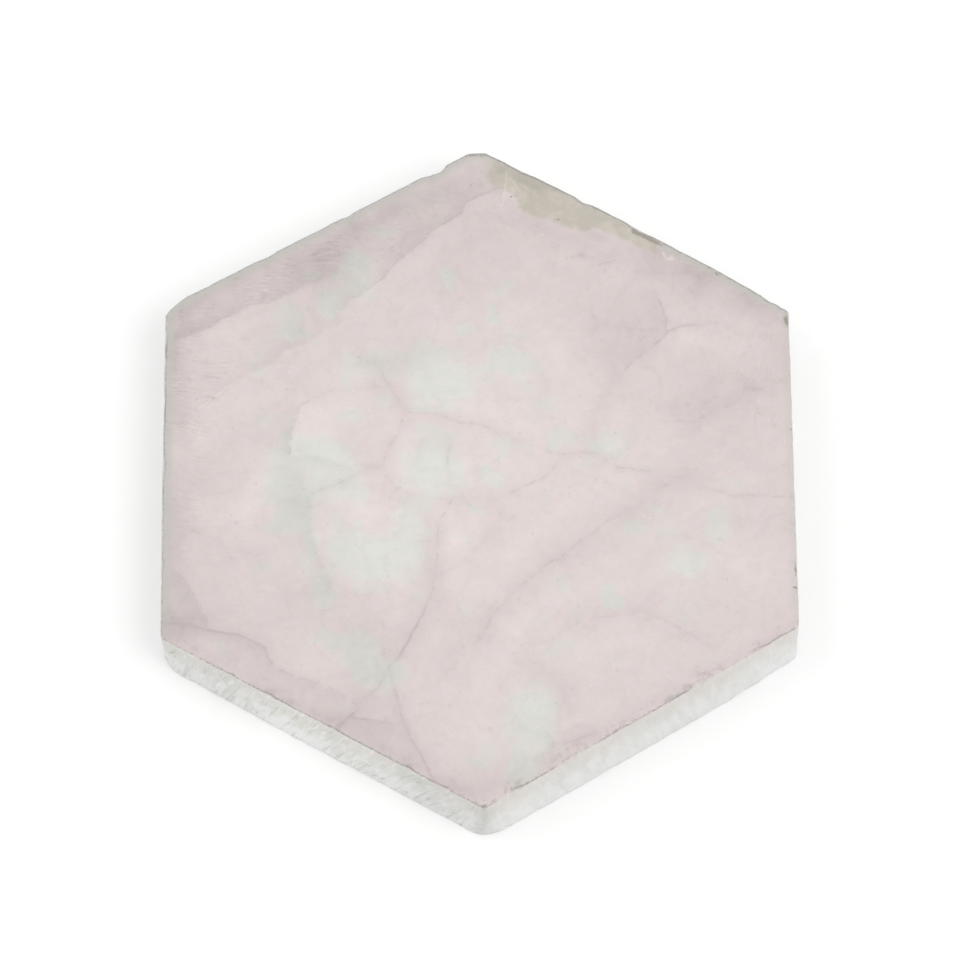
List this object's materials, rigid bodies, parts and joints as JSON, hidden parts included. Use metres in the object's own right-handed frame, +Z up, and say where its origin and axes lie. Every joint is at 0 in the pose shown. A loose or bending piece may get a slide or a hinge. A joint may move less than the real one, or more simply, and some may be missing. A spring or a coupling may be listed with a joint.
{
  "type": "selenite plate",
  "caption": "Hexagonal slab sawn from cloudy, marbled pink and white stone, with flat honed faces and chipped edges. It lies flat as a charging plate or coaster.",
  "frame": {"origin": "centre of the underside, where the plate rests", "axes": "+Z up through the thickness, +Y towards the far corner of the hexagon, +X towards the right-hand flat side"},
  "size_m": [0.1004, 0.1156, 0.01],
  "materials": {
    "marbled_stone": "matte, honed faces and sawn sides"
  },
  "bodies": {
    "root": {"selenite_plate": "marbled_stone"}
  },
  "joints": []
}
